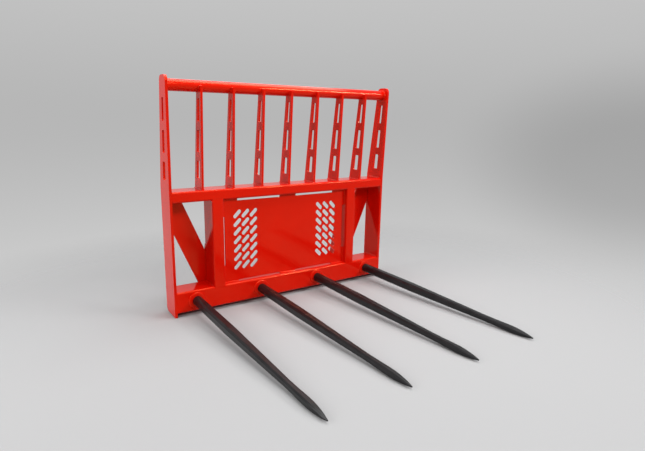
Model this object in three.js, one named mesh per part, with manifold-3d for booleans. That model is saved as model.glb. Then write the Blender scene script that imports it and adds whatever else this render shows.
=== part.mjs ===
// Bale spike attachment for a loader: a welded steel back frame with four bolt-in tines.
// Millimetres, +Z up. X runs across the frame and the tines point along -Y.
// The origin is on the floor, under the middle of the outline.
import * as THREE from 'three';
import * as BufferGeometryUtils from 'three/addons/utils/BufferGeometryUtils.js';
import Module from 'manifold-3d';

const wasm = await Module();
wasm.setup();

// Overall sizes
const frameWidth = 1200;
const frameHeight = 1064;
const tineReach = 1066; // from the frame's front face to the tine tips
const fitGap = 0.3; // left where a neighbour cuts a piece or goes through it
const cutOverrun = 20; // how far a cutting solid runs past what it cuts

// Rails: rectangular tubes between the side plates
const railDepth = 113;
const railWall = 6;
const railCornerRadius = 10;
const lowerRailHeight = 100;
const lowerRailGroundGap = 17;
const middleRailHeight = 50;
const middleRailTop = 577;

// Side plates: full height, standing on the floor, with a sloping upper half
const sidePlateThickness = 12;
const sidePlateDepth = 125;
const sidePlateTopDepth = 78;
const sidePlateLean = 20; // how far the top reaches ahead of the frame's face
const sidePlateShoulder = 13; // height above the middle rail where the rear edge turns in
const sidePlateTopRadius = 25;
const sidePlateHeelChamfer = 16;

// Top tube
const topTubeDiameter = 51;
const topTubeWall = 4;
const topTubeDrop = 39; // from the top of the side plates down to the tube's axis
const topTubeSetBack = 2; // from the frame's face back to the tube

// Slats: thin plates between the middle rail and the top tube
const slatCount = 7;
const slatThickness = 10;
const slatFootSetBack = 12;
const slatFootDepth = 90;
const slatHornWidth = 17; // the part that rises in front of the tube
const slatHeelReach = 12; // how far the cradle runs on behind the tube's axis

// Lightening slots of the slats and side plates, from the middle rail upwards
const slotFootMargin = 49;
const slotHeadMargin = 51; // from the last slot up to the top tube's axis
const slotWeb = 38;
const slotLengthShares = [0.294, 0.353, 0.353];
const slotWidths = [36, 30, 24]; // at the middle of each slot's length
const slotCornerRadius = 5;

// Posts: rectangular tubes between the two rails, flush with their faces
const sideOpeningWidth = 180; // from the side plate to the post
const postWidth = 54;
const postWall = 6;
const postCornerRadius = 5;
const postFilletRadius = 8;

// Centre panel between the posts, its edge notched between the weld tabs
const panelThickness = 8;
const panelRecess = 25;
const panelNotchDepth = 13;
const panelFootNotchDepth = 5;
const panelMiddleTab = 90;
const panelCornerTab = 79;
const panelSideTab = 86;

// Two fields of tilted vent slots in the panel
const ventLength = 50;
const ventWidth = 20;
const ventTilt = THREE.MathUtils.degToRad(45);
const ventColumns = 3;
const ventColumnPitch = 42.4;
const ventRowPitch = 42.4;
const ventFieldInset = 121; // from the post to the middle of the field
const ventRailMargin = 70; // least height from a rail to the middle of a vent

// Diagonal braces, on the rails' rear faces
const braceWidth = 98;
const braceThickness = 12;
const braceHeadReach = 4; // how far past the side plate's inner face its centre line runs
const braceFootReach = 32; // how far past the post's outer face its centre line runs

// Tines and the bushes that hold them
const tineCount = 4;
const tineEdgeMargin = 93; // from the side plate to the outer tine's axis
const bushDiameter = 72;
const bushProud = 5;
const bushTail = 10;
const bushChamfer = 2;
const tineRootDiameter = 46;
const tineConeDiameter = 42;
const tineConeSmallDiameter = 31;
const tineThreadDiameter = 28;
const tineThreadStickOut = 6;
const tineFlatWidth = 40.5;
const tineTipWidth = 5;
const washerDiameter = 56;
const washerThickness = 6;
const nutAcrossFlats = 41;
const nutHeight = 24;

// Coupler: two pairs of hook plates above two pairs of pin ears, behind the posts
const couplerPlateThickness = 12;
const hookBarDiameter = 50;
const hookWall = 20;
const hookDrop = 12; // how far the hook's sides reach below the bar's centre
const hookTopMargin = 12; // from the middle rail's top down to the hook's top
const pinHoleDiameter = 32;
const pinEarRadius = 35;
const pinSetBack = 25; // from the rails' rear faces back to the pin's axis
const pinEarHeight = 283;
const pinEarTopWidth = 6;

// Counts of straight steps that stand for round shapes
const cornerSteps = 3;
const cradleSteps = 4;
const ventSteps = 2;
const roundSteps = 32;
const boltSteps = 24;
const tineSides = 24;

// Places that follow from the sizes above
const innerHalfWidth = frameWidth / 2 - sidePlateThickness;
const lowerRailTop = lowerRailGroundGap + lowerRailHeight;
const lowerRailCentre = lowerRailGroundGap + lowerRailHeight / 2;
const middleRailBottom = middleRailTop - middleRailHeight;
const openingHeight = middleRailBottom - lowerRailTop;
const openingCentre = (middleRailBottom + lowerRailTop) / 2;
const topTubeRadius = topTubeDiameter / 2;
const topTubeY = topTubeSetBack + topTubeRadius;
const topTubeZ = frameHeight - topTubeDrop;
const postOuterX = innerHalfWidth - sideOpeningWidth;
const postInnerX = postOuterX - postWidth;
const bushFront = -bushProud;
const bushRear = railDepth + bushTail;
const hookAxisY = railDepth + hookWall + hookBarDiameter / 2;
const hookAxisZ = middleRailTop - hookTopMargin - hookWall - hookBarDiameter / 2;
const couplerReach = hookAxisY + hookBarDiameter / 2 + hookWall;

// Materials
const redPaint = new THREE.MeshStandardMaterial({ color: 0xcc1a0e, roughness: 0.3, metalness: 0 });
const forgedBlack = new THREE.MeshStandardMaterial({ color: 0x1b1b1d, roughness: 0.5, metalness: 0.4 });
const zincPlate = new THREE.MeshStandardMaterial({ color: 0xb9bab6, roughness: 0.4, metalness: 0.9 });

// Closed outline through [a, b, radius] corners, with an arc of that radius at each corner.
function roundedOutline(corners) {
  const shape = new THREE.Shape();
  corners.forEach(([a, b, radius], index) => {
    const corner = new THREE.Vector2(a, b);
    const [beforeA, beforeB] = corners[(index + corners.length - 1) % corners.length];
    const [afterA, afterB] = corners[(index + 1) % corners.length];
    const back = new THREE.Vector2(beforeA, beforeB).sub(corner).normalize();
    const ahead = new THREE.Vector2(afterA, afterB).sub(corner).normalize();
    const halfAngle = Math.acos(THREE.MathUtils.clamp(back.dot(ahead), -1, 1)) / 2;
    const run = radius / Math.tan(halfAngle);
    const start = corner.clone().addScaledVector(back, run);
    const end = corner.clone().addScaledVector(ahead, run);
    if (index === 0) {
      shape.moveTo(start.x, start.y);
    } else {
      shape.lineTo(start.x, start.y);
    }
    if (radius > 0) {
      const inward = back.clone().add(ahead).normalize();
      const centre = corner.clone().addScaledVector(inward, radius / Math.sin(halfAngle));
      const startAngle = start.clone().sub(centre).angle();
      const endAngle = end.clone().sub(centre).angle();
      shape.absarc(centre.x, centre.y, radius, startAngle, endAngle, back.cross(ahead) > 0);
    }
  });
  shape.closePath();
  return shape;
}

// Rectangle with round corners, from its lower left corner.
function roundedRectangle(a, b, width, height, radius) {
  return roundedOutline([
    [a, b, radius],
    [a + width, b, radius],
    [a + width, b + height, radius],
    [a, b + height, radius],
  ]);
}

// Rectangular tube's section: a round-cornered rectangle with its bore.
function tubeSection(a, b, width, height, radius, wall) {
  const section = roundedRectangle(a, b, width, height, radius);
  const boreRadius = Math.max(radius - wall, 0);
  section.holes.push(roundedRectangle(a + wall, b + wall, width - wall * 2, height - wall * 2, boreRadius));
  return section;
}

// Slot with round ends, its long axis at the given angle.
function slotHole(a, b, length, width, angle) {
  const radius = width / 2;
  const reachA = (length / 2 - radius) * Math.cos(angle);
  const reachB = (length / 2 - radius) * Math.sin(angle);
  const hole = new THREE.Path();
  hole.absarc(a + reachA, b + reachB, radius, angle - Math.PI / 2, angle + Math.PI / 2, false);
  hole.absarc(a - reachA, b - reachB, radius, angle + Math.PI / 2, angle + Math.PI * 1.5, false);
  hole.closePath();
  return hole;
}

function roundHole(a, b, diameter) {
  const hole = new THREE.Path();
  hole.absarc(a, b, diameter / 2, 0, Math.PI * 2, false);
  return hole;
}

// Solid of an outline in (y, z), its thickness along X about x = 0. An arc gets twice the steps.
function extrudeAlongX(outline, thickness, steps = cornerSteps) {
  const geometry = new THREE.ExtrudeGeometry(outline, {
    depth: thickness,
    bevelEnabled: false,
    curveSegments: steps,
  });
  geometry.translate(0, 0, -thickness / 2);
  const toY = new THREE.Vector3(0, 1, 0);
  const toZ = new THREE.Vector3(0, 0, 1);
  const toX = new THREE.Vector3(1, 0, 0);
  return geometry.applyMatrix4(new THREE.Matrix4().makeBasis(toY, toZ, toX));
}

// Solid of an outline in (x, z), from the plane y = 0 back to y = thickness.
function extrudeAlongY(outline, thickness, steps = cornerSteps) {
  const geometry = new THREE.ExtrudeGeometry(outline, {
    depth: thickness,
    bevelEnabled: false,
    curveSegments: steps,
  });
  geometry.translate(0, 0, -thickness);
  return geometry.rotateX(Math.PI / 2);
}

// Body turned about the Y axis from a closed [radius, y] profile.
function turnedBody(profile, sides) {
  const points = profile.map(([radius, y]) => new THREE.Vector2(radius, y));
  return new THREE.LatheGeometry([...points, points[0]], sides);
}

function toSolid(geometry) {
  const bare = geometry.clone();
  bare.deleteAttribute('normal');
  bare.deleteAttribute('uv');
  const merged = BufferGeometryUtils.mergeVertices(bare);
  return new wasm.Manifold(new wasm.Mesh({
    numProp: 3,
    vertProperties: new Float32Array(merged.attributes.position.array),
    triVerts: new Uint32Array(merged.index.array),
  }));
}

function toGeometry(solid) {
  const mesh = solid.getMesh();
  const geometry = new THREE.BufferGeometry();
  geometry.setAttribute('position', new THREE.BufferAttribute(mesh.vertProperties, 3));
  geometry.setIndex(new THREE.BufferAttribute(mesh.triVerts, 1));
  geometry.computeVertexNormals();
  return geometry;
}

function cutOut(geometry, tools) {
  return toGeometry(tools.reduce((rest, tool) => rest.subtract(toSolid(tool)), toSolid(geometry)));
}

// Height-to-depth line between two points of an upright's edge.
function edgeLine(startY, startZ, endY, endZ) {
  return (z) => startY + ((endY - startY) * (z - startZ)) / (endZ - startZ);
}

// The whole outline is centred over the origin.
const attachment = new THREE.Group();
attachment.position.y = (tineReach - couplerReach) / 2;

function addPiece(name, geometry, material, x = 0, y = 0, z = 0) {
  const mesh = new THREE.Mesh(geometry, material);
  mesh.name = name;
  mesh.position.set(x, y, z);
  attachment.add(mesh);
}

// Slots of one upright, each midway between its edges and narrowing with it towards the top.
function uprightSlots(frontAt, rearAt) {
  const websHeight = slotWeb * (slotLengthShares.length - 1);
  const room = topTubeZ - middleRailTop - slotFootMargin - slotHeadMargin - websHeight;
  const middleAt = (z) => (frontAt(z) + rearAt(z)) / 2;
  const widthAt = (z) => rearAt(z) - frontAt(z);
  let bottom = middleRailTop + slotFootMargin;
  return slotLengthShares.map((share, index) => {
    const top = bottom + share * room;
    const narrowing = slotWidths[index] / widthAt((bottom + top) / 2);
    const lowHalfWidth = (widthAt(bottom) / 2) * narrowing;
    const highHalfWidth = (widthAt(top) / 2) * narrowing;
    const hole = roundedOutline([
      [middleAt(bottom) - lowHalfWidth, bottom, slotCornerRadius],
      [middleAt(bottom) + lowHalfWidth, bottom, slotCornerRadius],
      [middleAt(top) + highHalfWidth, top, slotCornerRadius],
      [middleAt(top) - highHalfWidth, top, slotCornerRadius],
    ]);
    bottom = top + slotWeb;
    return hole;
  });
}

// Side plates
function sidePlateOutline() {
  const shoulderZ = middleRailTop + sidePlateShoulder;
  const topRearY = sidePlateTopDepth - sidePlateLean;
  const outline = roundedOutline([
    [0, 0, 0],
    [sidePlateDepth - sidePlateHeelChamfer, 0, 0],
    [sidePlateDepth, sidePlateHeelChamfer, 0],
    [sidePlateDepth, shoulderZ, 0],
    [topRearY, frameHeight, sidePlateTopRadius],
    [-sidePlateLean, frameHeight, sidePlateTopRadius],
    [0, middleRailTop, 0],
  ]);
  const frontAt = edgeLine(0, middleRailTop, -sidePlateLean, frameHeight);
  const rearAt = edgeLine(sidePlateDepth, shoulderZ, topRearY, frameHeight);
  outline.holes.push(...uprightSlots(frontAt, rearAt));
  return outline;
}

for (const [name, side] of [['side_plate_left', -1], ['side_plate_right', 1]]) {
  const plateX = side * (innerHalfWidth + sidePlateThickness / 2);
  addPiece(name, extrudeAlongX(sidePlateOutline(), sidePlateThickness), redPaint, plateX);
}

// Top tube, its ends against the side plates
const topTubeSection = new THREE.Shape();
topTubeSection.absarc(topTubeY, topTubeZ, topTubeRadius, 0, Math.PI * 2, false);
topTubeSection.holes.push(roundHole(topTubeY, topTubeZ, topTubeDiameter - topTubeWall * 2));
addPiece('top_tube', extrudeAlongX(topTubeSection, innerHalfWidth * 2, roundSteps / 2), redPaint);

// Slats, each with a cradle under the tube and a horn in front of it
function slatOutline() {
  const cradleRadius = topTubeRadius + fitGap;
  const heelAngle = -Math.acos(slatHeelReach / cradleRadius);
  const heelY = topTubeY + slatHeelReach;
  const heelZ = topTubeZ + cradleRadius * Math.sin(heelAngle);
  const hornFrontY = topTubeY - cradleRadius - slatHornWidth;
  const footRearY = slatFootSetBack + slatFootDepth;
  const outline = new THREE.Shape();
  outline.moveTo(slatFootSetBack, middleRailTop);
  outline.lineTo(footRearY, middleRailTop);
  outline.lineTo(heelY, heelZ);
  outline.absarc(topTubeY, topTubeZ, cradleRadius, heelAngle, -Math.PI / 2, true);
  outline.absarc(topTubeY, topTubeZ, cradleRadius, -Math.PI / 2, -Math.PI, true);
  outline.lineTo(hornFrontY, topTubeZ);
  outline.closePath();
  const frontAt = edgeLine(slatFootSetBack, middleRailTop, hornFrontY, topTubeZ);
  const rearAt = edgeLine(footRearY, middleRailTop, heelY, heelZ);
  outline.holes.push(...uprightSlots(frontAt, rearAt));
  return outline;
}

const uprightPitch = (frameWidth - sidePlateThickness) / (slatCount + 1);
for (let index = 0; index < slatCount; index += 1) {
  const slatX = (index - (slatCount - 1) / 2) * uprightPitch;
  addPiece(`slat_${index + 1}`, extrudeAlongX(slatOutline(), slatThickness, cradleSteps), redPaint, slatX);
}

// Middle rail
const middleRailSection = tubeSection(
  0, middleRailBottom, railDepth, middleRailHeight, railCornerRadius, railWall,
);
addPiece('middle_rail', extrudeAlongX(middleRailSection, innerHalfWidth * 2), redPaint);

// Lower rail, bored through both walls for the bushes
const tineSpacing = (innerHalfWidth - tineEdgeMargin) * (2 / (tineCount - 1));
const tinePlaces = Array.from(
  { length: tineCount },
  (_, index) => (index - (tineCount - 1) / 2) * tineSpacing,
);
const lowerRailSection = tubeSection(
  0, lowerRailGroundGap, railDepth, lowerRailHeight, railCornerRadius, railWall,
);
const bushHoles = tinePlaces.map((x) => {
  const radius = bushDiameter / 2 + fitGap;
  const hole = new THREE.CylinderGeometry(radius, radius, railDepth + cutOverrun * 2, roundSteps);
  return hole.translate(x, railDepth / 2, lowerRailCentre);
});
addPiece('lower_rail', cutOut(extrudeAlongX(lowerRailSection, innerHalfWidth * 2), bushHoles), redPaint);

// Posts, their ends shaped to the rails' round edges so that the faces run on flush
const railSpans = [[lowerRailGroundGap, lowerRailHeight], [middleRailBottom, middleRailHeight]];
const railEnvelopes = railSpans.map(([bottom, height]) => {
  const radius = railCornerRadius + fitGap;
  const fitDepth = railDepth + fitGap * 2;
  const fitHeight = height + fitGap * 2;
  return extrudeAlongX(roundedRectangle(-fitGap, bottom - fitGap, fitDepth, fitHeight, radius), frameWidth);
});

function postBody(side) {
  const leftX = side > 0 ? postInnerX : -postOuterX;
  const column = new THREE.ExtrudeGeometry(
    tubeSection(leftX, 0, postWidth, railDepth, postCornerRadius, postWall),
    { depth: openingHeight + railCornerRadius * 2, bevelEnabled: false, curveSegments: cornerSteps },
  );
  column.translate(0, 0, lowerRailTop - railCornerRadius);
  const filletFootZ = middleRailBottom - postFilletRadius;
  const filletRootX = side * (postOuterX - postWall);
  const fillet = new THREE.Shape();
  fillet.moveTo(filletRootX, middleRailBottom);
  fillet.lineTo(filletRootX, filletFootZ);
  fillet.lineTo(side * postOuterX, filletFootZ);
  fillet.absarc(
    side * (postOuterX + postFilletRadius), filletFootZ, postFilletRadius,
    side > 0 ? Math.PI : 0, Math.PI / 2, side > 0,
  );
  fillet.closePath();
  const joined = toSolid(column).add(toSolid(extrudeAlongY(fillet, postWall)));
  return cutOut(toGeometry(joined), railEnvelopes);
}

for (const [name, side] of [['post_left', -1], ['post_right', 1]]) {
  addPiece(name, postBody(side), redPaint);
}

// Centre panel
function panelOutline() {
  const notchNear = panelMiddleTab / 2;
  const notchFar = postInnerX - panelCornerTab;
  const notchedX = postInnerX - panelNotchDepth;
  const lowNotchZ = lowerRailTop + panelFootNotchDepth;
  const highNotchZ = middleRailBottom - panelNotchDepth;
  const sideNotchLow = lowerRailTop + panelSideTab;
  const sideNotchHigh = middleRailBottom - panelSideTab;
  const rightHalf = [
    [notchNear, lowerRailTop],
    [notchNear, lowNotchZ],
    [notchFar, lowNotchZ],
    [notchFar, lowerRailTop],
    [postInnerX, lowerRailTop],
    [postInnerX, sideNotchLow],
    [notchedX, sideNotchLow],
    [notchedX, sideNotchHigh],
    [postInnerX, sideNotchHigh],
    [postInnerX, middleRailBottom],
    [notchFar, middleRailBottom],
    [notchFar, highNotchZ],
    [notchNear, highNotchZ],
    [notchNear, middleRailBottom],
  ];
  const leftHalf = rightHalf.map(([x, z]) => [-x, z]).reverse();
  return roundedOutline([...rightHalf, ...leftHalf].map(([x, z]) => [x, z, 0]));
}

function ventHoles(side) {
  const rows = Math.floor((openingHeight - ventRailMargin * 2) / ventRowPitch) + 1;
  const fieldX = postInnerX - ventFieldInset;
  const holes = [];
  for (let row = 0; row < rows; row += 1) {
    for (let column = 0; column < ventColumns; column += 1) {
      const x = side * (fieldX + (column - (ventColumns - 1) / 2) * ventColumnPitch);
      const z = openingCentre + (row - (rows - 1) / 2) * ventRowPitch;
      holes.push(slotHole(x, z, ventLength, ventWidth, -side * ventTilt));
    }
  }
  return holes;
}

const panel = panelOutline();
panel.holes.push(...ventHoles(-1), ...ventHoles(1));
addPiece('centre_panel', extrudeAlongY(panel, panelThickness, ventSteps), redPaint, 0, panelRecess);

// Diagonal braces, from the outer end of the middle rail down past the foot of the post
function braceBody(side) {
  const run = braceHeadReach + sideOpeningWidth + braceFootReach;
  const rise = middleRailTop - lowerRailCentre;
  const strip = new THREE.BoxGeometry(braceWidth, braceThickness, Math.hypot(run, rise) * 2);
  strip.rotateY(side * Math.atan2(run, rise));
  strip.translate(side * (innerHalfWidth + braceHeadReach - run / 2), 0, middleRailTop - rise / 2);
  const trimHeight = rise - railCornerRadius; // between its two level ends
  const trim = new THREE.BoxGeometry(sideOpeningWidth, railDepth, trimHeight);
  trim.translate(side * (postOuterX + sideOpeningWidth / 2), 0, lowerRailCentre + trimHeight / 2);
  return toGeometry(toSolid(strip).intersect(toSolid(trim)));
}

for (const [name, side] of [['brace_left', -1], ['brace_right', 1]]) {
  addPiece(name, braceBody(side), redPaint, 0, railDepth + braceThickness / 2);
}

// Bush through the lower rail, with a cone bore
const bushProfile = [
  [tineConeSmallDiameter / 2 + fitGap, bushRear],
  [tineConeDiameter / 2 + fitGap, bushFront],
  [bushDiameter / 2 - bushChamfer, bushFront],
  [bushDiameter / 2, bushFront + bushChamfer],
  [bushDiameter / 2, bushRear - bushChamfer],
  [bushDiameter / 2 - bushChamfer, bushRear],
];

// Tine beyond the bush: share of its free length, share of its full width, and how square it is
const tineBodyShares = [
  [0, 1, 0],
  [0.05, 1, 0],
  [0.105, 1, 1],
  [0.355, 1, 1],
  [0.78, 0.607, 1],
  [0.83, 0.61, 1],
  [0.885, 0.655, 1],
  [0.915, 0.645, 1],
  [0.945, 0.55, 0.9],
  [0.975, 0.36, 0.6],
];

// Distance from a square bar's axis to its surface; its corners have broad chamfers.
function squareBarRadius(width, angle) {
  const flatHalfAngle = Math.PI / 6;
  const turn = Math.abs(((angle + Math.PI / 4) % (Math.PI / 2)) - Math.PI / 4);
  if (turn <= flatHalfAngle) {
    return width / 2 / Math.cos(turn);
  }
  const chamferDistance = ((width / 2) * (1 + Math.tan(flatHalfAngle))) / Math.SQRT2;
  return chamferDistance / Math.cos(Math.PI / 4 - turn);
}

// The tine's sections, from its threaded tail at +Y to its point at -Y
function tineRings() {
  const shoulderY = bushFront - fitGap;
  const rootY = shoulderY - fitGap;
  const tailY = bushRear + washerThickness + nutHeight + tineThreadStickOut;
  const rings = [
    { y: tailY, round: tineThreadDiameter, square: 0 },
    { y: bushRear, round: tineThreadDiameter, square: 0 },
    { y: bushRear - bushChamfer, round: tineConeSmallDiameter, square: 0 },
    { y: shoulderY, round: tineConeDiameter, square: 0 },
  ];
  for (const [lengthShare, widthShare, square] of tineBodyShares) {
    rings.push({
      y: THREE.MathUtils.lerp(rootY, -tineReach, lengthShare),
      round: tineRootDiameter * widthShare,
      flat: tineFlatWidth * widthShare,
      square,
    });
  }
  rings.push({ y: -tineReach, round: tineTipWidth, square: 0 });
  return rings;
}

function tineBody() {
  const rings = tineRings();
  const positions = [];
  for (const ring of rings) {
    for (let side = 0; side < tineSides; side += 1) {
      const angle = (side / tineSides) * Math.PI * 2;
      const squareRadius = squareBarRadius(ring.flat ?? ring.round, angle);
      const radius = THREE.MathUtils.lerp(ring.round / 2, squareRadius, ring.square);
      positions.push(radius * Math.cos(angle), ring.y, radius * Math.sin(angle));
    }
  }
  const tailCentre = positions.length / 3;
  const tipCentre = tailCentre + 1;
  positions.push(0, rings[0].y, 0, 0, -tineReach, 0);
  const faces = [];
  const lastRing = (rings.length - 1) * tineSides;
  for (let side = 0; side < tineSides; side += 1) {
    const next = (side + 1) % tineSides;
    for (let start = 0; start < lastRing; start += tineSides) {
      faces.push(start + side, start + tineSides + next, start + tineSides + side);
      faces.push(start + side, start + next, start + tineSides + next);
    }
    faces.push(tailCentre, next, side);
    faces.push(tipCentre, lastRing + side, lastRing + next);
  }
  const geometry = new THREE.BufferGeometry();
  geometry.setAttribute('position', new THREE.Float32BufferAttribute(positions, 3));
  geometry.setIndex(faces);
  geometry.computeVertexNormals();
  return geometry;
}

// Washer and hexagon nut on the thread behind the bush
const threadHoleDiameter = tineThreadDiameter + fitGap * 2;
const washerProfile = [
  [threadHoleDiameter / 2, washerThickness],
  [threadHoleDiameter / 2, 0],
  [washerDiameter / 2, 0],
  [washerDiameter / 2, washerThickness],
];

function nutOutline() {
  const cornerRadius = nutAcrossFlats / Math.sqrt(3);
  const corners = Array.from({ length: 6 }, (_, index) => {
    const angle = (index * Math.PI) / 3;
    return [cornerRadius * Math.cos(angle), cornerRadius * Math.sin(angle), 0];
  });
  const outline = roundedOutline(corners);
  outline.holes.push(roundHole(0, 0, threadHoleDiameter));
  return outline;
}

tinePlaces.forEach((x, index) => {
  const number = index + 1;
  const bush = turnedBody(bushProfile, roundSteps);
  const washer = turnedBody(washerProfile, boltSteps);
  const nut = extrudeAlongY(nutOutline(), nutHeight, boltSteps / 2);
  addPiece(`tine_bush_${number}`, bush, redPaint, x, 0, lowerRailCentre);
  addPiece(`tine_${number}`, tineBody(), forgedBlack, x, 0, lowerRailCentre);
  addPiece(`tine_washer_${number}`, washer, zincPlate, x, bushRear, lowerRailCentre);
  addPiece(`tine_nut_${number}`, nut, zincPlate, x, bushRear + washerThickness, lowerRailCentre);
});

// Hook plate: hangs over the loader's upper bar, its mouth facing down
function hookOutline() {
  const barRadius = hookBarDiameter / 2;
  const footZ = hookAxisZ - hookDrop;
  const outline = new THREE.Shape();
  outline.moveTo(railDepth, footZ);
  outline.lineTo(hookAxisY - barRadius, footZ);
  outline.lineTo(hookAxisY - barRadius, hookAxisZ);
  outline.absarc(hookAxisY, hookAxisZ, barRadius, Math.PI, 0, true);
  outline.lineTo(hookAxisY + barRadius, footZ);
  outline.lineTo(hookAxisY + barRadius + hookWall / 2, footZ);
  outline.lineTo(couplerReach, footZ + hookWall / 2);
  outline.lineTo(couplerReach, hookAxisZ);
  outline.absarc(hookAxisY, hookAxisZ, barRadius + hookWall, 0, Math.PI / 2, false);
  outline.lineTo(railDepth, hookAxisZ + barRadius + hookWall);
  outline.closePath();
  return outline;
}

// Pin ear: takes the loader's locking pin, its rear edge sloping up to the post
function pinEarOutline() {
  const pinY = railDepth + pinSetBack;
  const pinZ = lowerRailGroundGap + pinEarRadius;
  const topY = railDepth + pinEarTopWidth;
  const topZ = lowerRailGroundGap + pinEarHeight;
  const topAngle = Math.atan2(topZ - pinZ, topY - pinY);
  const tangentAngle = topAngle - Math.acos(pinEarRadius / Math.hypot(topY - pinY, topZ - pinZ));
  const outline = new THREE.Shape();
  outline.moveTo(railDepth, lowerRailGroundGap);
  outline.lineTo(pinY, lowerRailGroundGap);
  outline.absarc(pinY, pinZ, pinEarRadius, -Math.PI / 2, tangentAngle, false);
  outline.lineTo(topY, topZ);
  outline.lineTo(railDepth, topZ);
  outline.closePath();
  outline.holes.push(roundHole(pinY, pinZ, pinHoleDiameter));
  return outline;
}

for (const [sideName, side] of [['left', -1], ['right', 1]]) {
  const innerPlateX = postInnerX + couplerPlateThickness / 2;
  const outerPlateX = postOuterX - couplerPlateThickness / 2;
  for (const [place, plateX] of [['inner', innerPlateX], ['outer', outerPlateX]]) {
    const hook = extrudeAlongX(hookOutline(), couplerPlateThickness, boltSteps / 4);
    const ear = extrudeAlongX(pinEarOutline(), couplerPlateThickness, boltSteps / 4);
    addPiece(`hook_plate_${sideName}_${place}`, hook, redPaint, side * plateX);
    addPiece(`pin_ear_${sideName}_${place}`, ear, redPaint, side * plateX);
  }
}

export default attachment;
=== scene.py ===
import math

import bpy
from mathutils import Matrix, Vector


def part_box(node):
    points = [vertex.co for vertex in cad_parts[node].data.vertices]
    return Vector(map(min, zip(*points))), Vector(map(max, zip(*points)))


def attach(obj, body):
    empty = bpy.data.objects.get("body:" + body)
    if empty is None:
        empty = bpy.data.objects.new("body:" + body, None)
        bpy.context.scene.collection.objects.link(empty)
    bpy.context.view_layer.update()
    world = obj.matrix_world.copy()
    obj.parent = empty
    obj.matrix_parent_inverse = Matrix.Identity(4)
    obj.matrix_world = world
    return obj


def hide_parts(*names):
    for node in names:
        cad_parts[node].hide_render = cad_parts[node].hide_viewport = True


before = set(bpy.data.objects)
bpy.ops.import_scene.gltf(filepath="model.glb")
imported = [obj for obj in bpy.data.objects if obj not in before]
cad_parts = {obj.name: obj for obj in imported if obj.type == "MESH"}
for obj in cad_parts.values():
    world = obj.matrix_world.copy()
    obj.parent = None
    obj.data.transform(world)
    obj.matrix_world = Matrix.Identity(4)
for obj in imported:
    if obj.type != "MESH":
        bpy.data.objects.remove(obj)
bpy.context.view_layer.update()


# Camera: stands ahead of the frame's left end, a little below the height of its top, and looks
# slightly down at the centre panel.
camera_place = Vector((-1.1933, -1.6192, 0.9104))
camera_heading = math.radians(34.13)
camera_dip = math.radians(12.83)
camera_roll = math.radians(1.18)
camera_lens = 26.80

camera = bpy.data.objects.new("camera", bpy.data.cameras.new("camera"))
camera.data.lens = camera_lens
camera.matrix_world = (
    Matrix.Translation(camera_place)
    @ Matrix.Rotation(-camera_heading, 4, "Z")
    @ Matrix.Rotation(math.pi / 2 - camera_dip, 4, "X")
    @ Matrix.Rotation(camera_roll, 4, "Z")
)
bpy.context.scene.collection.objects.link(camera)
bpy.context.scene.camera = camera
bpy.context.scene.view_settings.view_transform = "Standard"


# Floor: a wide pale studio floor. The attachment rests on the foremost corners of its side
# plates and on its tine points, so the floor slopes by that much under the level frame, and it
# fades into the backdrop all round.
floor_radius = 7.0
floor_sides = 96
floor_slope = math.radians(3.15)
floor_fade = (0.7, 2.5)
floor_colour = (0.398, 0.399, 0.403, 1)

plate_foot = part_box("side_plate_left")[0]
bpy.ops.object.select_all(action="DESELECT")
bpy.ops.mesh.primitive_circle_add(
    vertices=floor_sides, radius=floor_radius, fill_type="NGON",
)
floor = bpy.context.object
floor.name = "floor"
floor.rotation_euler.x = -floor_slope
floor.location = (0, plate_foot.y, plate_foot.z)


def fresh_material(name):
    """A new material and its emptied node tree."""
    material = bpy.data.materials.new(name)
    material.use_nodes = True
    tree = material.node_tree
    tree.nodes.clear()
    return material, tree


def add_node(tree, kind, **settings):
    """One node, its plain settings given by name and its inputs by their label."""
    node = tree.nodes.new(kind)
    for key, value in settings.items():
        if hasattr(node, key):
            setattr(node, key, value)
        else:
            node.inputs[key.replace("_", " ")].default_value = value
    return node


floor_paint, tree = fresh_material("studio floor")
place = add_node(tree, "ShaderNodeTexCoord")
distance = add_node(tree, "ShaderNodeVectorMath", operation="LENGTH")
fade = add_node(tree, "ShaderNodeMapRange", interpolation_type="SMOOTHSTEP")
fade.inputs["From Min"].default_value, fade.inputs["From Max"].default_value = floor_fade
matt = add_node(tree, "ShaderNodeBsdfDiffuse", Color=floor_colour)
clear = add_node(tree, "ShaderNodeBsdfTransparent")
blend = add_node(tree, "ShaderNodeMixShader")
output = add_node(tree, "ShaderNodeOutputMaterial")
tree.links.new(place.outputs["Object"], distance.inputs[0])
tree.links.new(distance.outputs["Value"], fade.inputs["Value"])
tree.links.new(fade.outputs["Result"], blend.inputs["Fac"])
tree.links.new(matt.outputs["BSDF"], blend.inputs[1])
tree.links.new(clear.outputs["BSDF"], blend.inputs[2])
tree.links.new(blend.outputs["Shader"], output.inputs["Surface"])
floor.data.materials.append(floor_paint)


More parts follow.
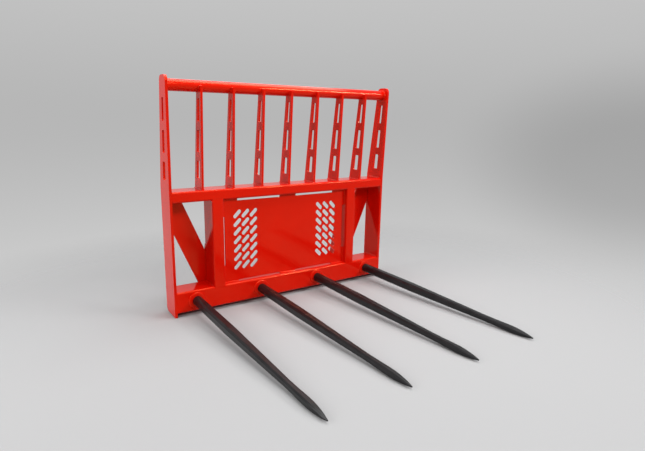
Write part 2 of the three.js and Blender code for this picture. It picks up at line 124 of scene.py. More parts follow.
# Light: an even pale room, wide soft boxes overhead and in front, one in line with the frame on
# the left, a high strip ahead on the right and one box behind. Rays that show the room itself
# see a grey backdrop, which is darkest along the horizon and dimmer towards its right side.
room_light = 0.30
backdrop_levels = [
    (-0.50, 0.645),
    (-0.40, 0.655),
    (-0.27, 0.585),
    (-0.15, 0.510),
    (-0.02, 0.440),
    (0.10, 0.485),
    (0.22, 0.535),
    (0.45, 0.560),
]
dim_side = (0.92, 0.385, -0.119)
dim_side_squash = (1, 1, 1.7)
dim_side_reach = (0.10, 0.36)
dim_side_levels = (0.82, 1.03)
soft_boxes = [
    ("overhead_light", (0.4, 0.2, 3.2), (2.4, 2.8), 104),
    ("left_light", (-3.3, 0.6, 1.5), (1.4, 1.4), 62),
    ("right_light", (3.0, -3.3, 3.05), (1.8, 0.22), 124),
    ("front_light", (-0.7, -3.2, 2.9), (3.0, 1.5), 60),
    ("rear_light", (1.0, 3.2, 2.4), (2.4, 1.2), 14),
]
lit_point = Vector((0, 0.2, 0.4))

for name, place, (width, height), power in soft_boxes:
    lamp = bpy.data.lights.new(name, "AREA")
    lamp.shape = "RECTANGLE"
    lamp.size = width
    lamp.size_y = height
    lamp.energy = power
    light = bpy.data.objects.new(name, lamp)
    light.visible_camera = False
    light.location = place
    light.rotation_mode = "QUATERNION"
    light.rotation_quaternion = (lit_point - Vector(place)).to_track_quat("-Z", "Y")
    bpy.context.scene.collection.objects.link(light)

world = bpy.data.worlds.new("studio")
bpy.context.scene.world = world
world.use_nodes = True
tree = world.node_tree
tree.nodes.clear()
direction = add_node(tree, "ShaderNodeTexCoord")
parts = add_node(tree, "ShaderNodeSeparateXYZ")
height = add_node(tree, "ShaderNodeMapRange")
lowest, highest = backdrop_levels[0][0], backdrop_levels[-1][0]
height.inputs["From Min"].default_value = lowest
height.inputs["From Max"].default_value = highest
backdrop = add_node(tree, "ShaderNodeValToRGB")
ramp = backdrop.color_ramp
ramp.interpolation = "B_SPLINE"
for level, tone in backdrop_levels[1:-1]:
    ramp.elements.new((level - lowest) / (highest - lowest))
for stop, (level, tone) in zip(ramp.elements, backdrop_levels):
    stop.color = (tone, tone, tone, 1)
seen = add_node(tree, "ShaderNodeBackground")
lighting = add_node(tree, "ShaderNodeBackground", Strength=room_light)
squashed = add_node(tree, "ShaderNodeVectorMath", operation="MULTIPLY")
squashed.inputs[1].default_value = dim_side_squash
away = add_node(tree, "ShaderNodeVectorMath", operation="DISTANCE")
away.inputs[1].default_value = dim_side
dimming = add_node(tree, "ShaderNodeMapRange", interpolation_type="SMOOTHSTEP")
dimming.inputs["From Min"].default_value, dimming.inputs["From Max"].default_value = dim_side_reach
dimming.inputs["To Min"].default_value, dimming.inputs["To Max"].default_value = dim_side_levels
path = add_node(tree, "ShaderNodeLightPath")
shows = add_node(tree, "ShaderNodeMath", operation="MAXIMUM")
shows_too = add_node(tree, "ShaderNodeMath", operation="MAXIMUM")
choice = add_node(tree, "ShaderNodeMixShader")
output = add_node(tree, "ShaderNodeOutputWorld")
tree.links.new(direction.outputs["Generated"], parts.inputs["Vector"])
tree.links.new(parts.outputs["Z"], height.inputs["Value"])
tree.links.new(height.outputs["Result"], backdrop.inputs["Fac"])
tree.links.new(backdrop.outputs["Color"], seen.inputs["Color"])
tree.links.new(direction.outputs["Generated"], squashed.inputs[0])
tree.links.new(squashed.outputs["Vector"], away.inputs[0])
tree.links.new(away.outputs["Value"], dimming.inputs["Value"])
tree.links.new(dimming.outputs["Result"], seen.inputs["Strength"])
tree.links.new(path.outputs["Is Camera Ray"], shows.inputs[0])
tree.links.new(path.outputs["Is Glossy Ray"], shows.inputs[1])
tree.links.new(shows.outputs["Value"], shows_too.inputs[0])
tree.links.new(path.outputs["Is Transmission Ray"], shows_too.inputs[1])
tree.links.new(shows_too.outputs["Value"], choice.inputs["Fac"])
tree.links.new(lighting.outputs["Background"], choice.inputs[1])
tree.links.new(seen.outputs["Background"], choice.inputs[2])
tree.links.new(choice.outputs["Shader"], output.inputs["Surface"])


# Side plates: two uprights cut from 12 mm steel plate, which stand on the floor and close both
# ends of the frame. Their upper halves lean forward and have three slots each. The cut edges
# are eased before the whole weldment is powder coated in gloss red.
plate_edge = 0.0012
red = (0.685, 0.005, 0.0008, 1)
deep_red = (0.635, 0.004, 0.0006, 1)
gloss_tint = (1.0, 0.44, 0.16, 1)
deep_red_below = 0.35
red_above = 0.65
smoothest_paint = 0.07
roughest_paint = 0.14
paint_specular = 0.5
drift_scale = 4.0
haze_scale = 30.0
peel_scale = 260.0
peel_strength = 0.10
peel_depth = 0.0001
sharp_corner = 35
flat_weight = 80
seam_gap = 0.00002
level_within = 0.5


def add_shade(tree, *stops):
    """A colour ramp with two stops, each a place on the ramp and a colour."""
    shade = add_node(tree, "ShaderNodeValToRGB")
    for element, (position, colour) in zip(shade.color_ramp.elements, stops):
        element.position = position
        element.color = colour
    return shade


def gloss_red_paint():
    """Powder coat: faint orange peel, and a shade and a gloss that drift a little."""
    material, tree = fresh_material("gloss red powder coat")
    place = add_node(tree, "ShaderNodeTexCoord")
    drift = add_node(tree, "ShaderNodeTexNoise", Scale=drift_scale, Detail=3.0)
    shade = add_shade(tree, (deep_red_below, deep_red), (red_above, red))
    haze = add_node(tree, "ShaderNodeTexNoise", Scale=haze_scale, Detail=4.0)
    gloss = add_node(tree, "ShaderNodeMapRange", To_Min=smoothest_paint, To_Max=roughest_paint)
    peel = add_node(tree, "ShaderNodeTexNoise", Scale=peel_scale, Detail=2.0)
    peel_bump = add_node(tree, "ShaderNodeBump", Strength=peel_strength, Distance=peel_depth)
    paint = add_node(tree, "ShaderNodeBsdfPrincipled", Specular_IOR_Level=paint_specular)
    paint.inputs["Specular Tint"].default_value = gloss_tint
    output = add_node(tree, "ShaderNodeOutputMaterial")
    for texture in (drift, haze, peel):
        tree.links.new(place.outputs["Object"], texture.inputs["Vector"])
    tree.links.new(drift.outputs["Fac"], shade.inputs["Fac"])
    tree.links.new(shade.outputs["Color"], paint.inputs["Base Color"])
    tree.links.new(haze.outputs["Fac"], gloss.inputs["Value"])
    tree.links.new(gloss.outputs["Result"], paint.inputs["Roughness"])
    tree.links.new(peel.outputs["Fac"], peel_bump.inputs["Height"])
    tree.links.new(peel_bump.outputs["Normal"], paint.inputs["Normal"])
    tree.links.new(paint.outputs["BSDF"], output.inputs["Surface"])
    return material


red_paint = gloss_red_paint()


def select_only(piece):
    """Selects one piece, and nothing else, and makes it the active one."""
    bpy.ops.object.select_all(action="DESELECT")
    piece.select_set(True)
    bpy.context.view_layer.objects.active = piece


def apply_modifier(piece, name, kind, **settings):
    """Adds one modifier to a piece and applies it."""
    select_only(piece)
    modifier = piece.modifiers.new(name, kind)
    for key, value in settings.items():
        setattr(modifier, key, value)
    bpy.ops.object.modifier_apply(modifier=modifier.name)


def shade_smooth(corner=sharp_corner):
    """Smooth shading on the active piece, but for corners sharper than this many degrees."""
    bpy.ops.object.shade_smooth_by_angle(angle=math.radians(corner))


def ease_edges(piece, width, steps=2, corner=sharp_corner):
    """Rounds a piece's sharp edges and keeps its flats flat under smooth shading."""
    apply_modifier(
        piece, "eased edges", "BEVEL",
        width=width, segments=steps, limit_method="ANGLE", angle_limit=math.radians(corner),
        use_clamp_overlap=True, miter_outer="MITER_ARC",
    )
    shade_smooth(corner)
    apply_modifier(piece, "flat faces", "WEIGHTED_NORMAL", keep_sharp=True, weight=flat_weight)


def copy_of_solid(node, name):
    """A merged copy of a solid, its triangles dissolved back into whole faces."""
    select_only(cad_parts[node])
    bpy.ops.object.duplicate()
    piece = bpy.context.object
    piece.name = name
    piece.parent = None
    for key in list(piece.keys()):
        del piece[key]
    bpy.ops.object.mode_set(mode="EDIT")
    bpy.ops.mesh.select_all(action="SELECT")
    bpy.ops.mesh.remove_doubles(threshold=seam_gap)
    bpy.ops.mesh.dissolve_limited(angle_limit=math.radians(level_within))
    bpy.ops.object.mode_set(mode="OBJECT")
    piece.data.materials.clear()
    return piece


def finish_piece(piece, material, slot, *nodes):
    """Gives a piece its material and the solids that it stands for; the record slot is not used.
    """
    piece.data.materials.clear()
    piece.data.materials.append(material)
    if nodes:
        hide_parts(*nodes)
    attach(piece, "root")


def paint_solid(node, name, edge):
    """A plate or a tube in red: its solid copied, its edges eased and the piece painted."""
    piece = copy_of_solid(node, name)
    ease_edges(piece, edge)
    finish_piece(piece, red_paint, "red_paint", node)


for side in ("left", "right"):
    paint_solid(f"side_plate_{side}", f"{side}_side_plate", plate_edge)


# Rails: two rectangular steel tubes with round corners, welded between the side plates. The
# lower one is bored through both walls for the four tine bushes.
rail_edge = 0.0008

for height in ("middle", "lower"):
    paint_solid(f"{height}_rail", f"{height}_cross_rail", rail_edge)


# Posts: two rectangular steel tubes welded in between the rails, flush with their faces, with a
# small fillet at the outer top corner. They carry the loader coupling behind them.
for side in ("left", "right"):
    paint_solid(f"post_{side}", f"{side}_post", rail_edge)


# Braces: a flat steel bar behind each side opening, welded to the rails' rear faces, from the
# outer top corner down to the foot of the post. Its ends are cut level and upright.
for side in ("left", "right"):
    paint_solid(f"brace_{side}", f"{side}_diagonal_brace", plate_edge)


# Centre panel: 8 mm steel plate set back between the posts, notched along its edges between the
# weld tabs. Two fields of vents are cut through it, three columns of seven, tilted towards the
# middle at their tops.
panel_low, panel_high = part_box("centre_panel")
panel_edge = 0.0008
panel_size = panel_high - panel_low
panel_middle = (panel_low + panel_high) / 2
notch_depth = 0.013
foot_notch_depth = 0.005
middle_tab = 0.090
corner_tab = 0.079
side_tab = 0.086
vent_length = 0.050
vent_width = 0.020
vent_tilt = math.radians(45)
vent_columns = 3
vent_rows = 7
vent_pitch = 0.0424
vent_field_inset = 0.121
vent_sides = 32
along_y = (math.pi / 2, 0, 0)


def add_block(low, high):
    """A box between two corners."""
    bpy.ops.object.select_all(action="DESELECT")
    bpy.ops.mesh.primitive_cube_add(size=1, location=(low + high) / 2, scale=high - low)
    bpy.ops.object.transform_apply(location=True, rotation=True, scale=True)
    return bpy.context.object


def add_cylinder(sides, radius, length, middle, turn):
    """A cylinder at its place, along Z until it is turned."""
    bpy.ops.object.select_all(action="DESELECT")
    bpy.ops.mesh.primitive_cylinder_add(
        vertices=sides, radius=radius, depth=length, location=middle, rotation=turn,
    )
    bpy.ops.object.transform_apply(location=True, rotation=True, scale=True)
    return bpy.context.object


def edit_vertices(piece, wanted):
    """Enters edit mode with only the wanted vertices selected."""
    bpy.ops.object.mode_set(mode="EDIT")
    bpy.ops.mesh.select_mode(type="VERT")
    bpy.ops.mesh.select_all(action="DESELECT")
    bpy.ops.object.mode_set(mode="OBJECT")
    for vertex in piece.data.vertices:
        vertex.select = wanted(vertex)
    bpy.ops.object.mode_set(mode="EDIT")


def join_pieces(pieces, name):
    """Several meshes made one object."""
    select_only(pieces[0])
    for piece in pieces[1:]:
        piece.select_set(True)
    if len(pieces) > 1:
        bpy.ops.object.join()
    bpy.context.object.name = name
    return bpy.context.object


def cut_away(piece, cutter):
    """Takes one mesh out of another and deletes the cutter."""
    apply_modifier(piece, "cut", "BOOLEAN", operation="DIFFERENCE", solver="EXACT", object=cutter)
    bpy.data.objects.remove(cutter)


def vent_field(side):
    """Cutters for one field of vents, on the left for -1 and on the right for 1."""
    vent = add_cylinder(vent_sides, vent_width / 2, panel_size.y * 3, (0, 0, 0), along_y)
    vent.rotation_euler.y = math.pi / vent_sides
    bpy.ops.object.transform_apply(location=False, rotation=True, scale=False)
    for end in (-1, 1):
        edit_vertices(vent, lambda vertex: vertex.co.x * end > 0)
        bpy.ops.transform.translate(value=(end * (vent_length - vent_width) / 2, 0, 0))
        bpy.ops.object.mode_set(mode="OBJECT")
    vent.rotation_euler.y = side * vent_tilt
    bpy.ops.object.transform_apply(location=False, rotation=True, scale=False)
    for count, direction in ((vent_columns, (1, 0, 0)), (vent_rows, (0, 0, 1))):
        apply_modifier(
            vent, "rows", "ARRAY", count=count, use_relative_offset=False,
            use_constant_offset=True, constant_offset_displace=Vector(direction) * vent_pitch,
        )
    field_middle = side * (panel_high.x - vent_field_inset)
    vent.location = (
        field_middle - (vent_columns - 1) / 2 * vent_pitch,
        panel_middle.y,
        panel_middle.z - (vent_rows - 1) / 2 * vent_pitch,
    )
    bpy.ops.object.transform_apply(location=True, rotation=False, scale=False)
    return vent


panel = add_block(panel_low, panel_high)
notches = []
for side in (-1, 1):
    ends = sorted((side * middle_tab / 2, side * (panel_high.x - corner_tab)))
    for edge, depth in ((panel_low.z, foot_notch_depth), (panel_high.z, notch_depth)):
        notches.append(add_block(
            Vector((ends[0], panel_low.y - panel_size.y, edge - depth)),
            Vector((ends[1], panel_high.y + panel_size.y, edge + depth)),
        ))
    edge = side * panel_high.x
    notches.append(add_block(
        Vector((edge - notch_depth, panel_low.y - panel_size.y, panel_low.z + side_tab)),
        Vector((edge + notch_depth, panel_high.y + panel_size.y, panel_high.z - side_tab)),
    ))
cut_away(panel, join_pieces(notches + [vent_field(-1), vent_field(1)], "panel_cutter"))
panel.name = "vented_panel"
ease_edges(panel, panel_edge)
finish_piece(panel, red_paint, "red_paint", "centre_panel")


# Top tube: one round steel tube along the top of the frame, cut square at both ends, which butt
# against the side plates and are welded to them all round.
tube_low, tube_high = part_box("top_tube")
tube_radius = (tube_high.z - tube_low.z) / 2
tube_middle = (tube_low + tube_high) / 2
tube_sides = 96
along_x = (0, math.pi / 2, 0)

tube = add_cylinder(tube_sides, tube_radius, tube_high.x - tube_low.x, tube_middle, along_x)
tube.name = "round_top_tube"
shade_smooth()
finish_piece(tube, red_paint, "red_paint", "top_tube")


# Slats: seven uprights cut from 10 mm steel plate and welded between the middle rail and the top
# tube, each with three slots that narrow upwards, a cradle under the tube and a short horn in
# front of it.
slat_count = 7


def steps_along(stem, count):
    """How far along X each further one of some like solids stands from the first."""
    edges = [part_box(f"{stem}_{number}")[0].x for number in range(1, count + 1)]
    return [edge - edges[0] for edge in edges[1:]]


def copy_along(piece, name, across):
    """A copy of a piece, moved along X, with a mesh of its own."""
    select_only(piece)
    bpy.ops.object.duplicate()
    copy = bpy.context.object
    copy.name = name
    bpy.ops.transform.translate(value=(across, 0, 0))
    bpy.ops.object.transform_apply(location=True, rotation=True, scale=True)
    return copy


def repeat_piece(first, stem, steps, material, slot, node_stem=None):
    """Copies the first of some like pieces to each step and finishes all of them."""
    pieces = [first]
    for number, across in enumerate(steps, start=2):
        pieces.append(copy_along(first, f"{stem}_{number}", across))
    first.name = f"{stem}_1"
    for number, piece in enumerate(pieces, start=1):
        nodes = [f"{node_stem}_{number}"] if node_stem else []
        finish_piece(piece, material, slot, *nodes)


slat_steps = steps_along("slat", slat_count)
first_slat = copy_of_solid("slat_1", "slat_plate_1")
ease_edges(first_slat, plate_edge)
repeat_piece(first_slat, "slat_plate", slat_steps, red_paint, "red_paint", "slat")


# Tine bushes: thick steel sleeves through the lower rail, each turned with a cone bore for its
# tine and a chamfer round both rims. They are welded in before the frame is painted.
tine_count = 4
bush_low, bush_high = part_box("tine_bush_1")
bush_middle = (bush_low + bush_high) / 2
bush_radius = (bush_high.z - bush_low.z) / 2
bush_chamfer = 0.002
bush_edge = 0.0006
bore_front_radius = 0.0213
bore_rear_radius = 0.0158
round_sides = 72


def edit_faces(piece, wanted):
    """Enters edit mode with only the wanted faces selected."""
    bpy.ops.object.mode_set(mode="EDIT")
    bpy.ops.mesh.select_mode(type="FACE")
    bpy.ops.mesh.select_all(action="DESELECT")
    bpy.ops.object.mode_set(mode="OBJECT")
    for face in piece.data.polygons:
        face.select = wanted(face)
    bpy.ops.object.mode_set(mode="EDIT")


def is_end(face):
    """Whether a face of a round body is one of its flat ends, which have many corners."""
    return len(face.vertices) > 4


def add_bored_disc(low, high, radius, front_bore, rear_bore, chamfer):
    """A round body along Y with chamfered rims, bored from end to end."""
    middle = (low + high) / 2
    disc = add_cylinder(round_sides, radius, high.y - low.y, middle, along_y)
    edit_faces(disc, is_end)
    bpy.ops.mesh.bevel(offset=chamfer, segments=3)
    bpy.ops.object.mode_set(mode="OBJECT")
    edit_faces(disc, is_end)
    bpy.ops.mesh.inset(thickness=radius - chamfer - front_bore)
    bpy.ops.object.mode_set(mode="OBJECT")
    edit_faces(disc, lambda face: is_end(face) and face.center.y > middle.y)
    narrowing = rear_bore / front_bore
    bpy.ops.transform.resize(value=(narrowing, 1, narrowing), center_override=middle)
    bpy.ops.object.mode_set(mode="OBJECT")
    edit_faces(disc, is_end)
    bpy.ops.mesh.bridge_edge_loops()
    bpy.ops.object.mode_set(mode="OBJECT")
    return disc


tine_steps = steps_along("tine_bush", tine_count)
first_bush = add_bored_disc(
    bush_low, bush_high, bush_radius, bore_front_radius, bore_rear_radius, bush_chamfer,
)
ease_edges(first_bush, bush_edge)
repeat_piece(first_bush, "turned_bush", tine_steps, red_paint, "red_paint", "tine_bush")


# Coupler: four hook plates over four pin ears, cut from 12 mm steel plate and welded in pairs to
# the rear of the posts. The loader's bar lies in the hooks and its pins lock through the ears.
for side in ("left", "right"):
    for place in ("inner", "outer"):
        paint_solid(f"hook_plate_{side}_{place}", f"{side}_{place}_hook", plate_edge)
        paint_solid(f"pin_ear_{side}_{place}", f"{side}_{place}_pin_ear", plate_edge)


# Welds: steel fillets along the inner corners of the frame, each a row of small ripples, painted
# with the rest. The butt joints in the front faces are ground flush.
frame_weld = 0.0042
slat_weld = 0.0030
ripple_pitch = 0.0045
ripple_swell = 1.16
ripple_gap = 0.00001
bead_sides = 10
bead_corner = 60
rail_corner = 0.010
slat_foot_front = 0.012
slat_heel_rear = 0.012
brace_foot_end = 0.429
brace_head_start = 0.535
brace_side_foot = 0.442


def close_ends():
    """Fills the active piece's open ends and points its faces outwards."""
    bpy.ops.object.mode_set(mode="EDIT")
    bpy.ops.mesh.select_all(action="SELECT")
    bpy.ops.mesh.fill_holes(sides=0)
    bpy.ops.mesh.normals_make_consistent(inside=False)
    bpy.ops.object.mode_set(mode="OBJECT")


def weld_run(start, end, radius):
    """A straight fillet between two points: one ripple, repeated along the joint."""
    start, end = Vector(start), Vector(end)
    run = end - start
    count = max(2, round(run.length / ripple_pitch))
    pitch = run.length / count
    bpy.ops.object.select_all(action="DESELECT")
    bpy.ops.mesh.primitive_cylinder_add(
        vertices=bead_sides, radius=radius, depth=pitch, end_fill_type="NOTHING",
        location=(0, 0, pitch / 2),
    )
    bead = bpy.context.object
    bpy.ops.object.transform_apply(location=True, rotation=False, scale=False)
    bpy.ops.object.mode_set(mode="EDIT")
    bpy.ops.mesh.select_all(action="SELECT")
    bpy.ops.mesh.bisect(plane_co=(0, 0, pitch / 2), plane_no=(0, 0, 1))
    bpy.ops.transform.resize(value=(ripple_swell, ripple_swell, 1))
    bpy.ops.object.mode_set(mode="OBJECT")
    apply_modifier(
        bead, "ripples", "ARRAY", count=count, relative_offset_displace=(0, 0, 1),
        use_merge_vertices=True, merge_threshold=ripple_gap,
    )
    close_ends()
    shade_smooth(bead_corner)
    bead.rotation_mode = "QUATERNION"
    bead.rotation_quaternion = run.to_track_quat("Z", "Y")
    bead.location = start
    bpy.ops.object.transform_apply(location=True, rotation=True, scale=False)
    return bead


def weld_ring(middle, ring_radius, radius, turn):
    """A fillet all round a tube or a bush, its axis along Z until it is turned."""
    ripples = round(math.tau * ring_radius / ripple_pitch)
    bpy.ops.object.select_all(action="DESELECT")
    bpy.ops.mesh.primitive_torus_add(
        major_segments=2 * ripples, minor_segments=bead_sides, major_radius=ring_radius,
        minor_radius=radius, location=middle, rotation=turn,
    )
    bead = bpy.context.object
    bpy.ops.object.transform_apply(location=True, rotation=True, scale=False)
    edit_vertices(bead, lambda vertex: (vertex.index // bead_sides) % 2 == 0)
    bpy.ops.transform.shrink_fatten(value=radius * (ripple_swell - 1))
    bpy.ops.object.mode_set(mode="OBJECT")
    bpy.ops.object.shade_smooth()
    return bead


def trim(piece, place, facing):
    """Cuts off what lies beyond a plane and closes the cut."""
    select_only(piece)
    bpy.ops.object.mode_set(mode="EDIT")
    bpy.ops.mesh.select_all(action="SELECT")
    bpy.ops.mesh.bisect(plane_co=place, plane_no=facing, use_fill=True, clear_outer=True)
    bpy.ops.object.mode_set(mode="OBJECT")


lower_low, lower_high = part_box("lower_rail")
middle_low, middle_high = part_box("middle_rail")
brace_low, brace_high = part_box("brace_right")
post_outer = brace_low.x
post_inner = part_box("post_right")[0].x
rail_flat_front = lower_low.y + rail_corner
rail_flat_rear = lower_high.y - rail_corner

panel_welds = []
for edge in (panel_low.z, panel_high.z):
    for near, far in (
        (panel_low.x, panel_low.x + corner_tab),
        (-middle_tab / 2, middle_tab / 2),
        (panel_high.x - corner_tab, panel_high.x),
    ):
        ends = (near, panel_low.y, edge), (far, panel_low.y, edge)
        panel_welds.append(weld_run(*ends, frame_weld))
for edge in (panel_low.x, panel_high.x):
    for near, far in (
        (panel_low.z, panel_low.z + side_tab),
        (panel_high.z - side_tab, panel_high.z),
    ):
        ends = (edge, panel_low.y, near), (edge, panel_low.y, far)
        panel_welds.append(weld_run(*ends, frame_weld))
finish_piece(join_pieces(panel_welds, "panel_welds"), red_paint, "red_paint")

for side, name in ((-1, "left"), (1, "right")):
    plate_face = side * lower_high.x
    frame_welds = []
    for level in (lower_high.z, middle_low.z, middle_high.z):
        ends = (plate_face, rail_flat_front, level), (plate_face, rail_flat_rear, level)
        frame_welds.append(weld_run(*ends, frame_weld))
    foot_ends = (
        (plate_face, lower_high.y, lower_low.z + rail_corner),
        (plate_face, lower_high.y, lower_high.z - rail_corner),
    )
    frame_welds.append(weld_run(*foot_ends, frame_weld))
    foot = lower_high.z
    for across, front, level in (
        (post_outer, rail_flat_front, foot),
        (post_inner, panel_high.y, foot),
        (post_inner, panel_high.y, middle_low.z),
    ):
        ends = (side * across, front, level), (side * across, rail_flat_rear, level)
        frame_welds.append(weld_run(*ends, frame_weld))
    tube_end = (plate_face, tube_middle.y, tube_middle.z)
    frame_welds.append(weld_ring(tube_end, tube_radius, frame_weld, along_x))
    for level, near, far in (
        (brace_low.z, post_outer, brace_foot_end),
        (brace_high.z, brace_head_start, brace_high.x),
    ):
        ends = (side * near, lower_high.y, level), (side * far, lower_high.y, level)
        frame_welds.append(weld_run(*ends, frame_weld))
    ends = (
        (plate_face, brace_high.y, brace_side_foot),
        (plate_face, brace_high.y, brace_high.z),
    )
    frame_welds.append(weld_run(*ends, frame_weld))
    finish_piece(join_pieces(frame_welds, f"{name}_frame_welds"), red_paint, "red_paint")

    coupler_welds = []
    for plate in ("inner", "outer"):
        for kind in ("hook_plate", "pin_ear"):
            plate_low, plate_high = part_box(f"{kind}_{name}_{plate}")
            inside = max if (plate == "inner") == (side > 0) else min
            across = inside(plate_low.x, plate_high.x)
            ends = (across, plate_low.y, plate_low.z), (across, plate_low.y, plate_high.z)
            coupler_welds.append(weld_run(*ends, frame_weld))
    finish_piece(join_pieces(coupler_welds, f"{name}_coupler_welds"), red_paint, "red_paint")

slat_low, slat_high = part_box("slat_1")
foot_front = lower_low.y + slat_foot_front
heel = tube_middle.y + slat_heel_rear
slat_welds = []
for face in (slat_low.x, slat_high.x):
    ends = (face, foot_front, slat_low.z), (face, rail_flat_rear, slat_low.z)
    slat_welds.append(weld_run(*ends, slat_weld))
    saddle = weld_ring((face, tube_middle.y, tube_middle.z), tube_radius, slat_weld, along_x)
    trim(saddle, tube_middle, (0, 0, 1))
    trim(saddle, (face, heel, 0), (0, 1, 0))
    slat_welds.append(saddle)
horn_top = tube_middle.y - tube_radius
ends = (slat_low.x, horn_top, tube_middle.z), (slat_high.x, horn_top, tube_middle.z)
slat_welds.append(weld_run(*ends, slat_weld))
first_slat_welds = join_pieces(slat_welds, "slat_welds_1")
repeat_piece(first_slat_welds, "slat_welds", slat_steps, red_paint, "red_paint")

bush_rings = []
for face in (lower_low.y, lower_high.y):
    ring_middle = (bush_middle.x, face, bush_middle.z)
    bush_rings.append(weld_ring(ring_middle, bush_radius, frame_weld, along_y))
first_bush_welds = join_pieces(bush_rings, "bush_welds_1")
repeat_piece(first_bush_welds, "bush_welds", tine_steps, red_paint, "red_paint")


# Tines: forged spring steel spikes with a cone root, a square body with broad chamfers and a
# long tapered point, coated in satin black and drawn tight by a nut behind the rail.
tine_edge = 0.0025
tine_corner = 25
tine_black = (0.003, 0.003, 0.0035, 1)
tine_grey = (0.009, 0.009, 0.010, 1)
tine_black_below = 0.3
tine_grey_above = 0.7
smoothest_coat = 0.26
roughest_coat = 0.42
coat_specular = 0.3
coat_cloud_scale = 22.0
mark_scale = 85.0
mark_strength = 0.25
mark_depth = 0.0015
coat_grain_scale = 900.0
coat_grain_strength = 0.15
coat_grain_depth = 0.0003
thread_crest = 0.014
thread_root = 0.0127
thread_pitch = 0.003
thread_turns = 4
steps_per_turn = 40


def satin_black_coat():
    """Thin black coat over forged steel: the hammer scale under it shows as low dimples."""
    material, tree = fresh_material("satin black coat")
    place = add_node(tree, "ShaderNodeTexCoord")
    cloud = add_node(tree, "ShaderNodeTexNoise", Scale=coat_cloud_scale, Detail=5.0)
    shade = add_shade(tree, (tine_black_below, tine_black), (tine_grey_above, tine_grey))
    gloss = add_node(tree, "ShaderNodeMapRange", To_Min=smoothest_coat, To_Max=roughest_coat)
    scale_marks = add_node(tree, "ShaderNodeTexNoise", Scale=mark_scale, Detail=4.0)
    grain = add_node(tree, "ShaderNodeTexNoise", Scale=coat_grain_scale, Detail=2.0)
    mark_bump = add_node(tree, "ShaderNodeBump", Strength=mark_strength, Distance=mark_depth)
    grain_bump = add_node(
        tree, "ShaderNodeBump", Strength=coat_grain_strength, Distance=coat_grain_depth,
    )
    coat = add_node(tree, "ShaderNodeBsdfPrincipled", Specular_IOR_Level=coat_specular)
    output = add_node(tree, "ShaderNodeOutputMaterial")
    for texture in (cloud, scale_marks, grain):
        tree.links.new(place.outputs["Object"], texture.inputs["Vector"])
    tree.links.new(cloud.outputs["Fac"], shade.inputs["Fac"])
    tree.links.new(shade.outputs["Color"], coat.inputs["Base Color"])
    tree.links.new(cloud.outputs["Fac"], gloss.inputs["Value"])
    tree.links.new(gloss.outputs["Result"], coat.inputs["Roughness"])
    tree.links.new(scale_marks.outputs["Fac"], mark_bump.inputs["Height"])
    tree.links.new(mark_bump.outputs["Normal"], grain_bump.inputs["Normal"])
    tree.links.new(grain.outputs["Fac"], grain_bump.inputs["Height"])
    tree.links.new(grain_bump.outputs["Normal"], coat.inputs["Normal"])
    tree.links.new(coat.outputs["BSDF"], output.inputs["Surface"])
    return material


black_coat = satin_black_coat()

for number in range(1, tine_count + 1):
    tine = copy_of_solid(f"tine_{number}", f"forged_tine_{number}")
    tine_low, tine_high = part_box(f"tine_{number}")
    tine_middle = (tine_low + tine_high) / 2
    edit_vertices(tine, lambda vertex: vertex.co.y > bush_high.y - bush_edge)
    narrowing = thread_root / thread_crest
    bpy.ops.transform.resize(value=(narrowing, 1, narrowing), center_override=tine_middle)
    bpy.ops.object.mode_set(mode="OBJECT")
    ease_edges(tine, tine_edge, steps=3, corner=tine_corner)
    finish_piece(tine, black_coat, "black_tine", f"tine_{number}")

tail_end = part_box("tine_1")[1].y
bpy.ops.object.select_all(action="DESELECT")
bpy.ops.mesh.primitive_circle_add(
    vertices=3, radius=thread_pitch / math.sqrt(3), location=(thread_root, 0, 0),
    rotation=along_y,
)
first_thread = bpy.context.object
bpy.ops.object.transform_apply(location=True, rotation=True, scale=True)
apply_modifier(
    first_thread, "thread", "SCREW", angle=math.tau, screw_offset=thread_pitch,
    iterations=thread_turns, steps=steps_per_turn, render_steps=steps_per_turn,
    use_merge_vertices=True,
)
close_ends()
first_thread.rotation_euler = along_y
first_thread.location = (bush_middle.x, tail_end - thread_pitch / 2, bush_middle.z)
bpy.ops.object.transform_apply(location=True, rotation=True, scale=True)
repeat_piece(first_thread, "tine_thread", tine_steps, black_coat, "black_tine")


# Washers and nuts: one heavy washer and one hexagon nut of zinc-plated steel on the thread behind
# each bush. The nut's corners are turned off to a cone at both ends.
zinc_light = (0.60, 0.60, 0.58, 1)
zinc_dark = (0.46, 0.47, 0.47, 1)
smoothest_zinc = 0.25
roughest_zinc = 0.42
zinc_cloud_scale = 60.0
zinc_grain_scale = 1200.0
zinc_grain_strength = 0.12
zinc_grain_depth = 0.0002
zinc_edge = 0.0006
washer_low, washer_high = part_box("tine_washer_1")
nut_low, nut_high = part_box("tine_nut_1")
thread_hole = 0.0143
nut_cone_width = 0.0036
nut_cone_height = 0.0020
nut_sides = 6
nut_corner = 20


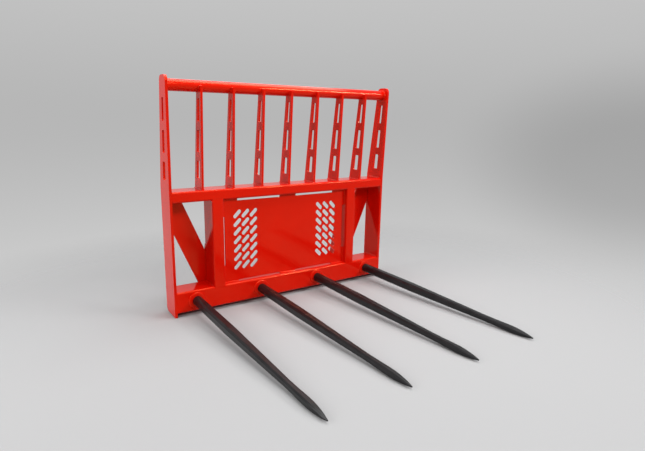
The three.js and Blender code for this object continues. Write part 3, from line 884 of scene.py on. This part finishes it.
def zinc_plate():
    """Bright zinc: clouded tone, fine machining lines dulled by the plating."""
    material, tree = fresh_material("bright zinc plate")
    place = add_node(tree, "ShaderNodeTexCoord")
    cloud = add_node(tree, "ShaderNodeTexNoise", Scale=zinc_cloud_scale, Detail=4.0)
    shade = add_shade(tree, (0, zinc_dark), (1, zinc_light))
    gloss = add_node(tree, "ShaderNodeMapRange", To_Min=smoothest_zinc, To_Max=roughest_zinc)
    grain = add_node(tree, "ShaderNodeTexNoise", Scale=zinc_grain_scale, Detail=2.0)
    bump = add_node(
        tree, "ShaderNodeBump", Strength=zinc_grain_strength, Distance=zinc_grain_depth,
    )
    metal = add_node(tree, "ShaderNodeBsdfPrincipled", Metallic=1.0)
    output = add_node(tree, "ShaderNodeOutputMaterial")
    for texture in (cloud, grain):
        tree.links.new(place.outputs["Object"], texture.inputs["Vector"])
    tree.links.new(cloud.outputs["Fac"], shade.inputs["Fac"])
    tree.links.new(shade.outputs["Color"], metal.inputs["Base Color"])
    tree.links.new(cloud.outputs["Fac"], gloss.inputs["Value"])
    tree.links.new(gloss.outputs["Result"], metal.inputs["Roughness"])
    tree.links.new(grain.outputs["Fac"], bump.inputs["Height"])
    tree.links.new(bump.outputs["Normal"], metal.inputs["Normal"])
    tree.links.new(metal.outputs["BSDF"], output.inputs["Surface"])
    return material


zinc = zinc_plate()

washer_radius = (washer_high.z - washer_low.z) / 2
first_washer = add_bored_disc(
    washer_low, washer_high, washer_radius, thread_hole, thread_hole, zinc_edge,
)
shade_smooth()

nut_middle = (nut_low + nut_high) / 2
nut_reach = (nut_high.x - nut_low.x) / 2
nut_height = nut_high.y - nut_low.y
waist_height = nut_height - 2 * nut_cone_height
first_nut = add_cylinder(round_sides, nut_reach, waist_height, nut_middle, along_y)
for end in (-1, 1):
    edit_faces(first_nut, lambda face: is_end(face) and face.normal.y * end > 0)
    bpy.ops.mesh.extrude_region_move(
        TRANSFORM_OT_translate={"value": (0, end * nut_cone_height, 0)},
    )
    narrowing = 1 - nut_cone_width / nut_reach
    bpy.ops.transform.resize(value=(narrowing, 1, narrowing), center_override=nut_middle)
    bpy.ops.object.mode_set(mode="OBJECT")
point_up = (math.pi / 2, math.pi / nut_sides, 0)
hexagon = add_cylinder(nut_sides, nut_reach, nut_height * 2, nut_middle, point_up)
apply_modifier(
    first_nut, "flats", "BOOLEAN", operation="INTERSECT", solver="EXACT", object=hexagon,
)
bpy.data.objects.remove(hexagon)
cut_away(first_nut, add_cylinder(round_sides, thread_hole, nut_height * 2, nut_middle, along_y))
shade_smooth(nut_corner)

repeat_piece(first_washer, "heavy_washer", tine_steps, zinc, "zinc", "tine_washer")
repeat_piece(first_nut, "hexagon_nut", tine_steps, zinc, "zinc", "tine_nut")
